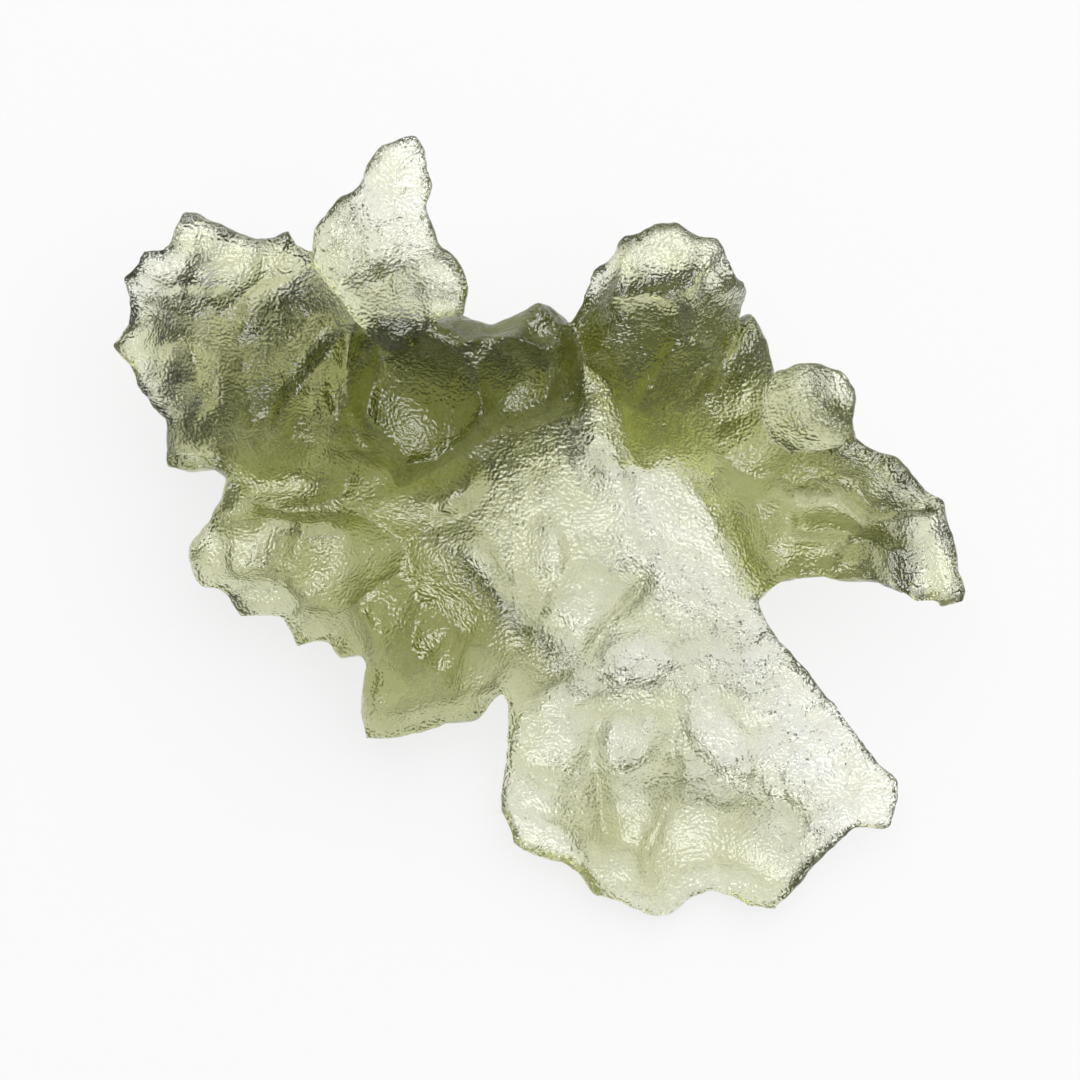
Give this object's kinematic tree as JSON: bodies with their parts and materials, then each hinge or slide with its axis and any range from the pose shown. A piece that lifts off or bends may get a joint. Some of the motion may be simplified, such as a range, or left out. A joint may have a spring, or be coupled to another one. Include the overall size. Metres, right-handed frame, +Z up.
{
  "type": "moldavite",
  "caption": "Loose sculpted moldavite of clear green glass, with thin etched lobes, a spike, a tower, a wing, a thin flap and deep cusped pits, lying on its underside.",
  "frame": {"origin": "on the plane that the stone rests on, under the middle of its bounding box", "axes": "+Z up from the resting plane, +X along the stone's length from its left lobe to its wing, +Y from its thin flap towards its spike"},
  "size_m": [0.034, 0.0312, 0.0115],
  "materials": {
    "green_glass": "clear green natural glass, finely etched to a satin gloss"
  },
  "bodies": {
    "root": {"moldavite": "green_glass"}
  },
  "joints": []
}
